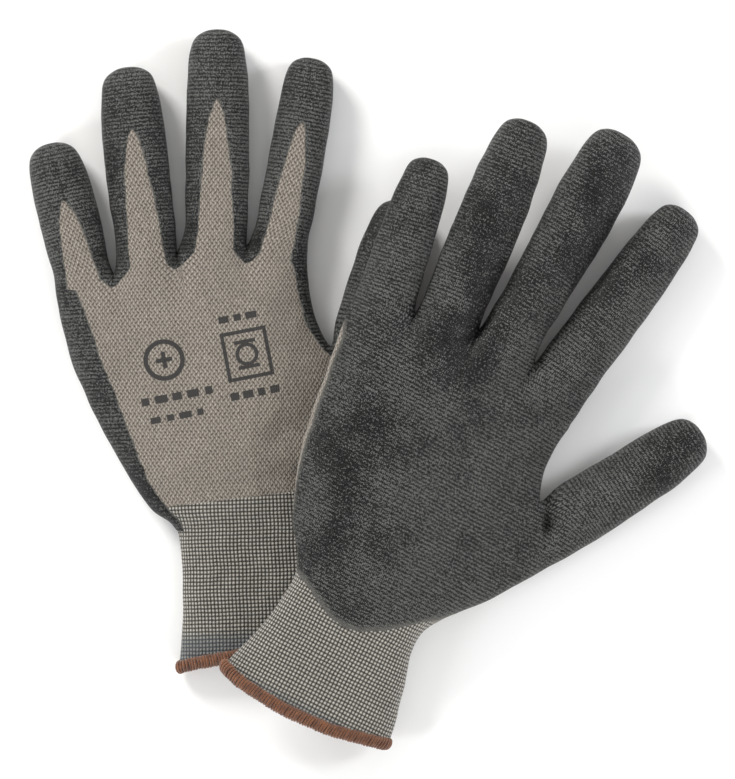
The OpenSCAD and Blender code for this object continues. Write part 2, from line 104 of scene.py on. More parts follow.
upperGlove = {
    "name": "upper",
    "wrist": (-0.9, -80.8),
    "turn": -28,
    "palmUp": True,
    "mouth": ((-39, -46.5), (-28, -49.6), (-8, -51.4), (12, -50.4), (36, -45.6)),
    "cuffRows": (
        (-54, -36.4, 35, 11), (-41, -33.6, 33.6, 10.8), (-33, -31.4, 32, 11), (-25, -30.2, 30.4, 11.4),
        (-17, -28.8, 28, 12), (-9.5, -28.2, 25.8, 13), (-3, -28.4, 25.4, 15.2),
    ),
    "rows": (
        (4, -31.6, 28.4, 17.4), (12, -38, 34.6, 18), (20, -42.2, 41.6, 18), (29, -45.4, 47.6, 17.6),
        (38, -48.2, 52, 17.4), (46, -50.2, 52, 17), (54, -51.6, 49, 16.8), (63, -52.8, 43.6, 16.8),
        (76, -54.4, 38.4, 16.8), (90, -56.2, 37.4, 16.4), (101, -57.8, 39, 15.8),
    ),
    "tilt": 0,
    "thumbRows": (3, 7),
    "webs": ((-58.2, 101), (-34.2, 107.6), (-9.7, 112.2), (15.6, 111.6), (40.2, 106.5)),
    "fingers": (
        {"name": "little", "base": (-46.6, 102), "splay": -9.6, "length": 60.5, "height": 14.8,
         "widths": (22, 21.2, 19.8, 17.8), "bend": 0, "reach": 0.62, "share": 0.60},
        {"name": "ring", "base": (-22.4, 108), "splay": -5.6, "length": 84.6, "height": 15.4,
         "widths": (22.6, 24.6, 24.4, 21.4), "bend": 0.5, "reach": 0.68, "share": 0.68},
        {"name": "middle", "base": (1.8, 111), "splay": 1.4, "length": 94.6, "height": 15.8,
         "widths": (21.8, 23.4, 26, 24.6), "bend": 0.8, "reach": 0.68, "share": 0.70},
        {"name": "index", "base": (27.2, 108), "splay": 8.6, "length": 84.4, "height": 15,
         "widths": (23.8, 23.8, 22.8, 20.8), "bend": 0.4, "reach": 0.67, "share": 0.66},
    ),
    "thumb": {"name": "thumb", "base": (54.2, 62), "splay": 29.2, "length": 64.5, "height": 16,
              "widths": (25.5, 24.2, 23.4, 21.4), "bend": 0.6, "reach": 0.6, "share": 0.5},
    "edgeBand": ((-8, -7), (20, -8.5), (50, -10), (85, -9), (98, -4)),
    "innerBand": -4,
    "wristEdge": ((-90, 4), (-34, 1), (-26, -4), (-16, -8.6), (-8, -12.4), (-2, -13.4), (4, -12), (12, -7.4),
                  (18, -2.4), (24, 2.6), (33, 9), (60, 22)),
    "dents": (
        ((43, 71), (50, 58), 3.6, 2.6), ((50, 58), (56, 44), 2.4, 3.4), ((-56, 100), (-38, 104), 0.9, 2.6),
        ((-32, 108), (-12, 112), 0.9, 2.6), ((-8, 113), (14, 113), 1, 2.6), ((17, 112), (38, 107), 1, 2.8),
        ((16, 110), (10, 92), 1.2, 4), ((-10, 110), (-10, 92), 0.9, 4), ((-34, 106), (-32, 90), 0.9, 4),
        ((36, 78), (30, 56), 1.3, 6), ((-46, 30), (-20, 6), 0.8, 5), ((8, 20), (36, 30), 0.9, 7),
        ((-12, 148), (14, 147), 0.7, 3), ((-36, 142), (-14, 146), 0.6, 3), ((18, 138), (40, 135), 0.6, 3),
        ((-62, 130), (-44, 132), 0.6, 3), ((72, 90), (84, 80), 0.6, 4),
    ),
}

# the upper glove lies level on the lower one and then slopes to the table
drape = {"lift": 16.4, "slope": 0.25, "foot": 44, "round": 2.5}

look = {
    "knitColour": (0.225, 0.198, 0.167), "knitDark": (0.035, 0.028, 0.021), "knitLight": (0.50, 0.455, 0.40),
    "cuffColour": (0.225, 0.21, 0.182), "cuffDark": (0.02, 0.018, 0.014), "cuffLight": (0.46, 0.44, 0.395),
    # the coating's speck colour is a painted highlight: light glints laid into the black base colour
    "coatColour": (0.004, 0.0042, 0.004), "coatPaintedGlint": (0.112, 0.113, 0.107),
    # grey of the dip's thin edge, also used as a painted sheen along the coating's sloping edges
    "coatThinSheen": (0.12, 0.116, 0.105),
    "hemColour": (0.075, 0.022, 0.007), "hemLight": (0.25, 0.088, 0.026),
    "printColour": (0.014, 0.012, 0.010),
    "wale": 1.75, "course": 1.3, "cuffWale": 1.45, "cuffCourse": 1.5,
}


def soften(value, width):
    return (value + math.sqrt(value * value + width * width)) / 2


def rise(glove, x):
    if not glove["palmUp"]:
        return 0
    d = drape
    return d["lift"] - soften(d["lift"] - soften(d["slope"] * (d["foot"] - x), d["round"]), d["round"])


def between(points, at):
    return float(np.interp(at, [p[0] for p in points], [p[1] for p in points]))


def smooth(value, low, high):
    t = min(1, max(0, (value - low) / (high - low)))
    return t * t * (3 - 2 * t)


def superEllipse(q, power):
    return (1 - min(1, abs(q)) ** power) ** (1 / power)


def fingerAxes(finger):
    a = math.radians(finger["splay"])
    return (math.sin(a), math.cos(a)), (math.cos(a), -math.sin(a))


def fingerWidth(finger, share):
    w = finger["widths"]
    return float(np.interp(share, (0.04, 0.35, 0.65, 0.86), w))


def fingerBend(finger, share):
    return finger["bend"] * 4 * share * (1 - share)


# ---- the shell of a glove, as a coarse cage that is subdivided ----

ringAngles = (150, 120, 90, 60, 30, 0, -30, -60, -90, -120, -150, 180)


class Cage:
    def __init__(self):
        self.points = []
        self.faces = []
        self.parts = []

    def add(self, point):
        self.points.append(point)
        return len(self.points) - 1

    def bridge(self, lower, upper, part):
        for i in range(len(lower)):
            k = (i + 1) % len(lower)
            self.faces.append((lower[i], upper[i], upper[k], lower[k]))
            self.parts.append(part)


def handRow(glove, cage, y, left, right, height, line, tilt, cuff):
    # a ring of 36: 17 over the top, the right side, 17 under, the left side
    webs = glove["webs"]
    inset = 2.0
    mouthRow = glove["cuffRows"][0][0]
    fractions = []
    for k in range(4):
        for j in range(4):
            x = webs[k][0] + (webs[k + 1][0] - webs[k][0]) * j / 4
            fractions.append((x - webs[0][0]) / (webs[4][0] - webs[0][0]))
    fractions.append(1)
    middle = (left + right) / 2
    half = (right - left) / 2 + 0.7
    centre = height / 2

    def place(x, side):
        q = (x - middle) / half
        z = centre + side * 1.02 * height / 2 * superEllipse(q, 2.7)
        along = y
        if tilt:
            edge, limit = (webs[4][0], right) if x > 0 else (-webs[0][0], -left)
            along = y + tilt * (between(line, x * edge / limit) - line[2][1])
        if cuff is not None:
            along = y + cuff * (between(glove["mouth"], x) - mouthRow)
        return cage.add((x, along, z))

    xs = [left + inset + f * (right - left - 2 * inset) for f in fractions]
    top = [place(x, 1) for x in xs]
    rightSide = place(middle + half, 0)
    bottom = [place(x, -1) for x in reversed(xs)]
    leftSide = place(middle - half, 0)
    return top + [rightSide] + bottom + [leftSide]


def fingerRing(finger, cage, share, scale=1):
    along, across = fingerAxes(finger)
    s = share * finger["length"]
    grow = 1.045
    half = fingerWidth(finger, share) / 2 * grow * scale
    flat = 0.35 + 0.65 * scale if scale < 1 else 1
    tall = finger["height"] / 2 * grow * flat * (1 - 0.1 * smooth(share, 0.6, 1))
    ring = []
    for angle in ringAngles:
        c, t = math.cos(math.radians(angle)), math.sin(math.radians(angle))
        a = half * c + fingerBend(finger, share)
        lift = 0 if angle in (0, 180) else tall * math.copysign(superEllipse(c, 2.35), t)
        z = finger["height"] / 2 - 0.2 * (1 - scale) + lift
        ring.append(cage.add((
            finger["base"][0] + along[0] * s + across[0] * a,
            finger["base"][1] + along[1] * s + across[1] * a,
            z,
        )))
    return ring


def growFinger(finger, cage, ring, part, shares):
    split = False
    for share in shares:
        new = fingerRing(finger, cage, share)
        cage.bridge(ring, new, part + (10 if split else 0))
        ring = new
        split = split or share > 0.42
    length = finger["length"]
    radius = fingerWidth(finger, 0.9) / 2
    for bulge in (0.52, 0.8, 0.965):
        share = 1 - radius * (1 - bulge) / length
        new = fingerRing(finger, cage, share, math.sqrt(1 - bulge ** 2.3) * 1.03)
        cage.bridge(ring, new, part + 10)
        ring = new
    cage.faces.append(tuple(ring))
    cage.parts.append(part + 10)


def buildShell(glove):
    cage = Cage()
    line = glove["webs"]
    rings = []
    for k, (y, left, right, height) in enumerate(glove["cuffRows"]):
        rings.append(handRow(glove, cage, y, left, right, height, line, 0, max(0, 1 - k / 3) ** 1.5))
    cuffCount = len(rings)
    rows = glove["rows"]
    for k, (y, left, right, height) in enumerate(rows):
        tilt = (k / (len(rows) - 1)) ** 2.2
        if k == 0:
            ring = handRow(glove, cage, y, left, right, height, line, 0, None)
            for i in ring:
                x, yy, z = cage.points[i]
                cage.points[i] = (x, yy + glove["tilt"] * x / 35, z)
        else:
            ring = handRow(glove, cage, y, left, right, height, line, tilt, None)
        rings.append(ring)
    first, last = glove["thumbRows"]
    first, last = first + cuffCount, last + cuffCount
    # the row at the bases of the fingers dips between them
    end = rings[-1]
    for i, k in enumerate(end[:17]):
        x, y, z = cage.points[k]
        if i in (4, 8, 12):
            cage.points[k] = (x, y - 1.2, z * 0.5 + glove["rows"][-1][3] * 0.36)
            j = end[18 + 16 - i]
            xb, yb, zb = cage.points[j]
            cage.points[j] = (xb, yb - 1.2, zb * 0.5 + glove["rows"][-1][3] * 0.14)
    for j in range(len(rings) - 1):
        part = 0 if j < cuffCount else 1
        for i in range(36):
            k = (i + 1) % 36
            if first <= j < last and i in (16, 17):
                continue
            cage.faces.append((rings[j][i], rings[j + 1][i], rings[j + 1][k], rings[j][k]))
            cage.parts.append(part)
    shares = (0.085, 0.17, 0.27, 0.36, 0.44, 0.52, 0.61, 0.7, 0.79)
    webSides = {}
    for n, finger in enumerate(glove["fingers"]):
        top = end[4 * n:4 * n + 5]
        bottom = [end[18 + 16 - i] for i in range(4 * n + 4, 4 * n - 1, -1)]
        for side in (n, n + 1):
            if side not in webSides:
                if side == 0:
                    webSides[side] = end[35]
                elif side == 4:
                    webSides[side] = end[17]
                else:
                    x, y = line[side]
                    webSides[side] = cage.add((x, y + 0.8, glove["rows"][-1][3] / 2))
        ring = top + [webSides[n + 1]] + bottom + [webSides[n]]
        growFinger(finger, cage, ring, 2 + n, shares)
    # the thumb grows out of the gap in the side of the hand
    top = [rings[j][16] for j in range(last, first - 1, -1)]
    bottom = [rings[j][18] for j in range(first, last + 1)]
    ring = top + [rings[first][17]] + bottom + [rings[last][17]]
    growFinger(glove["thumb"], cage, ring, 6, (0.07, 0.16, 0.26, 0.36, 0.45, 0.54, 0.64, 0.74))
    mesh = bpy.data.meshes.new(glove["name"] + "_shell")
    mesh.from_pydata(cage.points, [], cage.faces)
    parts = mesh.attributes.new("part", "INT", "FACE")
    parts.data.foreach_set("value", cage.parts)
    shell = bpy.data.objects.new(glove["name"] + "_shell", mesh)
    bpy.context.collection.objects.link(shell)
    bpy.ops.object.select_all(action="DESELECT")
    shell.select_set(True)
    bpy.context.view_layer.objects.active = shell
    bpy.ops.object.mode_set(mode="EDIT")
    bpy.ops.mesh.select_all(action="SELECT")
    bpy.ops.mesh.delete_loose(use_faces=False)
    bpy.ops.mesh.select_all(action="SELECT")
    bpy.ops.mesh.normals_make_consistent(inside=False)
    bpy.ops.object.mode_set(mode="OBJECT")
    # smooth over the subdivided mesh
    divide = shell.modifiers.new("divide", "SUBSURF")
    divide.levels = divide.render_levels = 3
    divide.boundary_smooth = "PRESERVE_CORNERS"
    bpy.ops.object.modifier_apply(modifier="divide")
    print(glove["name"], "shell", len(shell.data.polygons), "faces")
    return shell


# ---- fields over the shell: where the knit runs and where the dip ends ----


def vertexParts(mesh):
    parts = np.full(len(mesh.vertices), -1)
    values = np.zeros(len(mesh.polygons), int)
    mesh.attributes["part"].data.foreach_get("value", values)
    for face, value in zip(mesh.polygons, values):
        for v in face.vertices:
            parts[v] = max(parts[v], value)
    return parts


def handSection(glove, y):
    rows = glove["cuffRows"] + glove["rows"]
    ys = [r[0] for r in rows]
    return [float(np.interp(y, ys, [r[k] for r in rows])) for k in (1, 2, 3)]


def wrapped(offset, half, height, z, up):
    # distance round the surface from the middle of the side that faces up
    drop = (height - z) if up > 0 else z
    drop = max(0, drop)
    flat = abs(offset)
    if drop > height / 2:
        flat = 2 * half - min(flat, half)
    return math.copysign(flat + 0.8 * drop, offset)


def fingerPlace(finger, x, y):
    along, across = fingerAxes(finger)
    dx, dy = x - finger["base"][0], y - finger["base"][1]
    s = dx * along[0] + dy * along[1]
    a = dx * across[0] + dy * across[1]
    share = min(1, max(0, s / finger["length"]))
    return s, a - fingerBend(finger, share)


def windowHalf(finger, s):
    reach = finger["reach"] * finger["length"]
    w = finger["share"] * fingerWidth(finger, 0.1) / 2
    if s < 0:
        return w + 0.9 * (-s) ** 1.2
    return w * max(0, 1 - (s / reach) ** 2) ** 0.62 * (1 - 0.12 * smooth(s, 0, 0.4 * reach))


def dipAt(glove, part, x, y, z):
    # how far inside the dipped area a point is, in mm, and negative where it is bare
    back = -1 if glove["palmUp"] else 1
    digit = part % 10
    wave = (0.5 * noise.noise((x * 0.16, y * 0.16, z * 0.16))
            + 0.25 * noise.noise((x * 0.7, y * 0.7, z * 0.7 + 9)))
    if digit >= 2:
        finger = glove["thumb"] if digit == 6 else glove["fingers"][digit - 2]
        s, a = fingerPlace(finger, x, y)
        if s > -2 or digit == 6:
            half = fingerWidth(finger, s / finger["length"]) / 2
            arc = abs(wrapped(a, half, finger["height"], z, back))
            reach = finger["reach"] * finger["length"]
            if s < reach:
                return arc - windowHalf(finger, max(s, 0) if digit == 6 else s) + wave
            return math.hypot(arc, s - reach) + wave
    left, right, height = handSection(glove, y)
    middle, half = (left + right) / 2, (right - left) / 2
    xw = middle + wrapped(x - middle, half, height, z, back)
    edge = left + between(glove["edgeBand"], y) - xw
    inner = xw - (right - glove["innerBand"])
    window = 99
    for finger in glove["fingers"]:
        s, a = fingerPlace(finger, x, y)
        if s < 25:
            depth = 0.8 * (height - z if back > 0 else z)
            window = min(window, abs(a) + depth - windowHalf(finger, min(s, 0)))
    dipped = max(edge, inner, window)
    return min(dipped, y - between(glove["wristEdge"], x)) + wave


def knitAt(glove, part, x, y, z, up):
    left, right, height = handSection(glove, y)
    middle, half = (left + right) / 2, (right - left) / 2
    u = wrapped(x - middle, half, height, z, up)
    u = middle + u if abs(u) < half else middle + math.copysign(half, u) + (u - math.copysign(half, u))
    v = y
    digit = part % 10
    if digit >= 2:
        finger = glove["thumb"] if digit == 6 else glove["fingers"][digit - 2]
        s, a = fingerPlace(finger, x, y)
        half = fingerWidth(finger, s / finger["length"]) / 2
        fu = finger["base"][0] + wrapped(a, half, finger["height"], z, up)
        fv = finger["base"][1] + s
        w = smooth(s, -2, 14) if digit < 6 else smooth(s, -4, 14)
        u, v = u * (1 - w) + fu * w, v * (1 - w) + fv * w
    return u, v


def toWorld(glove, x, y, z):
    a = math.radians(glove["turn"])
    c, s = math.cos(a), math.sin(a)
    return Vector((glove["wrist"][0] + c * x - s * y, glove["wrist"][1] + s * x + c * y, z)) * mm


def segmentDistance(x, y, start, end):
    ex, ey = end[0] - start[0], end[1] - start[1]
    t = min(1, max(0, ((x - start[0]) * ex + (y - start[1]) * ey) / (ex * ex + ey * ey)))
    return math.hypot(x - start[0] - t * ex, y - start[1] - t * ey)


def shapeShell(glove, shell):
    mesh = shell.data
    parts = vertexParts(mesh)
    count = len(mesh.vertices)
    knitUp, knitDown, dip = np.zeros((count, 3)), np.zeros((count, 3)), np.zeros(count)
    local = np.zeros((count, 3))
    for v, part in zip(mesh.vertices, parts):
        x, y, z = v.co
        local[v.index] = (x, y, z)
        dip[v.index] = dipAt(glove, part, x, y, z)
        knitUp[v.index] = (*knitAt(glove, part, x, y, z, 1), part % 10)
        knitDown[v.index] = (*knitAt(glove, part, x, y, z, -1), part % 10)
    for v, part in zip(mesh.vertices, parts):
        x, y, z = local[v.index]
        height = handSection(glove, y)[2] if part < 2 else 15
        upper = smooth(z / height, 0.35, 0.8)
        for start, end, depth, width in glove["dents"]:
            d = segmentDistance(x, y, start, end)
            if d < 3 * width:
                z -= upper * depth * math.exp(-(d / width) ** 2)
        z += upper * (0.9 * noise.noise((x * 0.045, y * 0.045, 3))
                      + 0.45 * noise.noise((x * 0.12, y * 0.12, 7))
                      + 0.14 * noise.noise((x * 0.33, y * 0.33, 1)))
        wobble = 0.35 * noise.noise((y * 0.11, part * 3, 5))
        z = max(z, 0.02)
        v.co = toWorld(glove, x + wobble, y, z + rise(glove, x))
    for name, values in (("knitUp", knitUp), ("knitDown", knitDown), ("local", local)):
        layer = mesh.attributes.new(name, "FLOAT_VECTOR", "POINT")
        layer.data.foreach_set("vector", values.astype(np.float32).ravel())
    layer = mesh.attributes.new("dip", "FLOAT", "POINT")
    layer.data.foreach_set("value", dip.astype(np.float32))
    mesh.shade_smooth()
    print(glove["name"], "fields done")


# ---- pieces cut from the shell ----


def copyOf(obj, name):
    new = bpy.data.objects.new(name, obj.data.copy())
    bpy.context.collection.objects.link(new)
    return new


def cutDip(shell, name):
    # the coating is the shell cut where the dip ends, and lifted off the knit
    coat = copyOf(shell, name)
    bm = bmesh.new()
    bm.from_mesh(coat.data)
    dip = bm.verts.layers.float["dip"]
    for v in bm.verts:
        if abs(v[dip]) < 0.06:
            v[dip] = 0
    for edge in [e for e in bm.edges if e.verts[0][dip] * e.verts[1][dip] < 0]:
        a, b = edge.verts
        share = a[dip] / (a[dip] - b[dip])
        new = bmesh.utils.edge_split(edge, a, share)[1]
        new[dip] = 0
    for face in list(bm.faces):
        zeros = [v for v in face.verts if v[dip] == 0]
        if len(zeros) == 2 and min(v[dip] for v in face.verts) < 0 < max(v[dip] for v in face.verts):
            try:
                bmesh.utils.face_split(face, zeros[0], zeros[1])
            except ValueError:
                pass
    bare = [f for f in bm.faces if sum(v[dip] for v in f.verts) <= 0]
    bmesh.ops.delete(bm, geom=bare, context="FACES")
    # loose islands under a few mm are not dipped
    seen = set()
    for face in list(bm.faces):
        if face in seen:
            continue
        island, stack = [], [face]
        seen.add(face)
        while stack:
            f = stack.pop()
            island.append(f)
            for e in f.edges:
                for g in e.link_faces:
                    if g not in seen:
                        seen.add(g)
                        stack.append(g)
        if len(island) < 400:
            bmesh.ops.delete(bm, geom=island, context="FACES")
    bm.normal_update()
    moves = {}
    for v in bm.verts:
        lift = 0.06 + 0.36 * smooth(v[dip], 0, 1.5) + 0.1 * noise.noise(v.co * 120)* smooth(v[dip], 0, 3)
        moves[v] = v.co + v.normal * lift * mm
    rim = [e for e in bm.edges if e.is_boundary and all(abs(v[dip]) < 1e-6 for v in e.verts)]
    for v, place in moves.items():
        v.co = place
    normals = {v: v.normal.copy() for v in bm.verts}
    new = bmesh.ops.extrude_edge_only(bm, edges=rim)
    lowered = [v for v in new["geom"] if isinstance(v, bmesh.types.BMVert)]
    for v in lowered:
        near = [e.other_vert(v) for e in v.link_edges if e.other_vert(v) in normals]
        if near:
            v.co = v.co - normals[near[0]] * 0.14 * mm
    bm.to_mesh(coat.data)
    bm.free()
    coat.data.shade_smooth()
    print(name, "cut", len(coat.data.polygons), "faces")
    return coat


def keepNormals(obj):
    mesh = obj.data
    values = np.zeros(len(mesh.vertices) * 3, np.float32)
    mesh.vertex_normals.foreach_get("vector", values)
    layer = mesh.attributes.new("shade", "FLOAT_VECTOR", "POINT")
    layer.data.foreach_set("vector", values)


def partOf(obj, name, wanted):
    # the faces of one part, shaded as in the whole so that no join shows
    piece = copyOf(obj, name)
    bm = bmesh.new()
    bm.from_mesh(piece.data)
    layer = bm.faces.layers.int["part"]
    bmesh.ops.delete(bm, geom=[f for f in bm.faces if f[layer] not in wanted], context="FACES")
    bm.to_mesh(piece.data)
    bm.free()
    mesh = piece.data
    values = np.zeros(len(mesh.vertices) * 3, np.float32)
    mesh.attributes["shade"].data.foreach_get("vector", values)
    mesh.normals_split_custom_set_from_vertices(values.reshape(-1, 3).tolist())
    return piece


# ---- materials ----


class Wire:
    def __init__(self, tree, socket):
        self.tree = tree
        self.socket = socket

    def math(self, operation, *others):
        made = node(self.tree, "ShaderNodeMath", {"operation": operation}, self, *others)
        return Wire(self.tree, made.outputs[0])

    def __add__(self, other): return self.math("ADD", other)
    def __radd__(self, other): return self.math("ADD", other)
    def __sub__(self, other): return self.math("SUBTRACT", other)
    def __rsub__(self, other): return (self * -1) + other
    def __mul__(self, other): return self.math("MULTIPLY", other)
    def __rmul__(self, other): return self.math("MULTIPLY", other)
    def __truediv__(self, other): return self.math("DIVIDE", other)
    def __pow__(self, other): return self.math("POWER", other)
    def fract(self): return self.math("FRACT")
    def sine(self): return self.math("SINE")
    def size(self): return self.math("ABSOLUTE")
    def clamp(self): return self.math("MAXIMUM", 0).math("MINIMUM", 1)

    def ramp(self, low, high):
        settings = {"interpolation_type": "SMOOTHSTEP"}
        made = node(self.tree, "ShaderNodeMapRange", settings, self, low, high, 0, 1)
        return Wire(self.tree, made.outputs[0])


def node(tree, kind, settings, *values, **named):
    new = tree.nodes.new(kind)
    for key, value in (settings or {}).items():
        setattr(new, key, value)
    pairs = list(zip(new.inputs, values)) + [(new.inputs[k.replace("_", " ")], v) for k, v in named.items()]
    for socket, value in pairs:
        if isinstance(value, Wire):
            tree.links.new(value.socket, socket)
        elif value is not None:
            socket.default_value = value
    return new


def mix(tree, share, first, second):
    new = tree.nodes.new("ShaderNodeMix")
    new.data_type = "RGBA"
    for index, value in ((0, share), (6, first), (7, second)):
        if isinstance(value, Wire):
            tree.links.new(value.socket, new.inputs[index])
        else:
            new.inputs[index].default_value = value if index == 0 else (*value, 1)
    return Wire(tree, new.outputs[2])


def newMaterial(name):
    material = bpy.data.materials.new(name)
    material.use_nodes = True
    tree = material.node_tree
    return material, tree, tree.nodes["Principled BSDF"]


def attribute(tree, name, output="Vector"):
    return Wire(tree, node(tree, "ShaderNodeAttribute", {"attribute_name": name}).outputs[output])


def split(tree, vector):
    parts = node(tree, "ShaderNodeSeparateXYZ", None, vector)
    return [Wire(tree, parts.outputs[k]) for k in range(3)]


def grain(tree, place, scale, detail=2.0, rough=0.5):
    return Wire(tree, node(tree, "ShaderNodeTexNoise", None, Vector=place, Scale=scale, Detail=detail,
                           Roughness=rough).outputs["Fac"])


def objectPlace(tree):
    return Wire(tree, node(tree, "ShaderNodeTexCoord", None).outputs["Object"])


def bumpFrom(tree, shader, height, distance, strength=1.0):
    bump = node(tree, "ShaderNodeBump", None, Strength=strength, Distance=distance, Height=height)
    tree.links.new(bump.outputs[0], shader.inputs["Normal"])
    return bump


def stitches(u, v, wale, course, slant):
    # two legs a stitch that meet in a V, and the height of the yarn
    column = u / wale
    across = (column.fract() - 0.5).size() * 2
    row = (v / course + across * slant).fract()
    leg = (1 - (across * 2 - 1) * (across * 2 - 1)).math("MAXIMUM", 0)
    yarn = (row * math.pi).sine()
    return yarn * (0.1 + leg * 0.9)


def knitMaterial(name, field, colours, wale, course, slant, cuffLook):
    material, tree, shader = newMaterial(name)
    place = objectPlace(tree)
    u, v = split(tree, attribute(tree, field))[:2]
    wander = (grain(tree, place, 90.0) - 0.5) * 0.5
    u = u + wander
    v = v + (grain(tree, place, 130.0) - 0.5) * 0.5
    yarn = stitches(u, v, wale, course, slant)
    if cuffLook:
        yarn = (u * (math.pi / wale)).sine().size() * (v * (math.pi / course)).sine().size() * 1.15
    else:
        loops = (u * (2 * math.pi / wale)).sine() * (v * (math.pi / course)).sine() * 0.5 + 0.5
        yarn = yarn * 0.45 + loops * 0.62
    fuzz = grain(tree, place, 2600.0, 2.0)
    patch = grain(tree, place, 60.0, 3.0)
    strand = grain(tree, place, 900.0, 2.0)
    level = (yarn + (fuzz - 0.5) * 0.5 + (strand - 0.5) * 0.5)
    body = mix(tree, level.ramp(0.08, 0.62), look[colours + "Dark"], look[colours + "Colour"])
    body = mix(tree, level.ramp(0.66, 1.12), body, look[colours + "Light"])
    if cuffLook:
        # a grid of small holes between the stitches
        gapAcross = ((u / wale).fract() - 0.5).size().ramp(0.22, 0.5)
        gapAlong = ((v / course).fract() - 0.5).size().ramp(0.16, 0.46)
        hole = gapAcross * gapAlong
        body = mix(tree, (hole * 1.25).clamp() * 0.7, body, look["cuffDark"])
        level = level - hole * 0.7
        localV = split(tree, attribute(tree, "local"))[1]
        near = 1 - (localV + 51).ramp(0.0, 6.0)
        body = mix(tree, near * 0.55, body, (0.055, 0.07, 0.085))
    tone = 0.86 + patch * 0.28
    shade = node(tree, "ShaderNodeVectorMath", {"operation": "SCALE"}, body)
    tree.links.new(tone.socket, shade.inputs["Scale"])
    tree.links.new(shade.outputs[0], shader.inputs["Base Color"])
    shader.inputs["Roughness"].default_value = 0.82
    shader.inputs["Sheen Weight"].default_value = 0.25
    shader.inputs["Sheen Roughness"].default_value = 0.5
    shader.inputs["Specular IOR Level"].default_value = 0.3
    bumpFrom(tree, shader, level, 0.00035, 0.9)
    return material


def coatMaterial(name, field, thinSheenWidth):
    material, tree, shader = newMaterial(name)
    place = objectPlace(tree)
    u, v = split(tree, attribute(tree, field))[:2]
    dip = attribute(tree, "dip", "Fac")
    u = u + (grain(tree, place, 70.0) - 0.5) * 1.4
    v = v + (grain(tree, place, 90.0) - 0.5) * 1.0
    yarn = stitches(u, v, look["wale"] * 0.8, look["course"] * 1.15, 0.22)
    zone = grain(tree, place, 32.0, 3.0)
    fine = grain(tree, place, 1700.0, 1.0, 0.6)
    pore = grain(tree, place, 520.0, 2.0, 0.6)
    swell = grain(tree, place, 150.0, 3.0)
    rows = yarn * (0.35 + zone.ramp(0.3, 0.6) * 0.65)
    height = fine * 0.3 + pore * 0.35 + rows * 0.3 + swell * 0.9
    # grey band along the edge of the dip: partly the thin coating over the knit, partly a painted sheen on
    # the sloping sides
    thinSheen = 1 - (dip + (grain(tree, place, 500.0) - 0.5) * 2.5).ramp(0.0, thinSheenWidth)
    # painted glints: light specks in the base colour stand in for small highlights on the grain and the knit
    # rows of the coating
    paintedGlint = (fine + (rows - 0.3) * 0.34 + (pore - 0.5) * 0.2 + (zone - 0.5) * 0.12).ramp(0.48, 0.72)
    colour = mix(tree, paintedGlint, look["coatColour"], look["coatPaintedGlint"])
    colour = mix(tree, thinSheen * 0.75, colour, look["coatThinSheen"])
    tree.links.new(colour.socket, shader.inputs["Base Color"])
    rough = (0.34 + zone * 0.2 - paintedGlint * 0.12).clamp()
    tree.links.new(rough.socket, shader.inputs["Roughness"])
    shader.inputs["Specular IOR Level"].default_value = 0.22
    bumpFrom(tree, shader, height, 0.0009, 0.8)
    return material


def threadMaterial(name, dark, light):
    material, tree, shader = newMaterial(name)
    place = objectPlace(tree)
    fuzz = grain(tree, place, 2400.0, 3.0, 0.7)
    patch = grain(tree, place, 300.0, 2.0)
    colour = mix(tree, (fuzz * 0.6 + patch * 0.4).ramp(0.35, 0.72), dark, light)
    tree.links.new(colour.socket, shader.inputs["Base Color"])
    shader.inputs["Roughness"].default_value = 0.85
    shader.inputs["Sheen Weight"].default_value = 0.4
    bumpFrom(tree, shader, fuzz, 0.0003, 0.9)
    return material


def printMaterial(name, field):
    material, tree, shader = newMaterial(name)
    place = objectPlace(tree)
    u, v = split(tree, attribute(tree, field))[:2]
    yarn = stitches(u, v, look["wale"], look["course"], 0.35)
    worn = grain(tree, place, 1500.0, 2.0)
    level = yarn + (worn - 0.5) * 0.8
    colour = mix(tree, level.ramp(0.9, 1.5), look["printColour"], (0.07, 0.06, 0.05))
    tree.links.new(colour.socket, shader.inputs["Base Color"])
    shader.inputs["Roughness"].default_value = 0.6
    bumpFrom(tree, shader, level, 0.0003, 0.7)
    return material


def setMaterial(obj, material):
    obj.data.materials.clear()
    obj.data.materials.append(material)


# ---- hem, elastic and print ----


def mouthLoop(mesh, stations):
    # the open edge of the cuff, in order round it
    bm = bmesh.new()
    bm.from_mesh(mesh)
    bm.normal_update()
    edges = [e for e in bm.edges if e.is_boundary]
    links = {}
    for e in edges:
        for v in e.verts:
            links.setdefault(v, []).append(e.other_vert(v))
    lowest = min(links, key=lambda v: v.co.y)
    loop, now = [lowest], links[lowest][0]
    while now != lowest:
        loop.append(now)
        following = [v for v in links[now] if v != loop[-2]]
        now = following[0]
    places = np.array([v.co for v in loop] + [loop[0].co])
    normals = np.array([v.normal for v in loop] + [loop[0].normal])
    bm.free()
    steps = np.concatenate([[0], np.cumsum(np.linalg.norm(np.diff(places, axis=0), axis=1))])
    at = np.linspace(0, steps[-1], stations, endpoint=False)
    point = np.stack([np.interp(at, steps, places[:, k]) for k in range(3)], 1)
    normal = np.stack([np.interp(at, steps, normals[:, k]) for k in range(3)], 1)
    normal /= np.linalg.norm(normal, axis=1)[:, None]
    return point, normal, steps[-1]


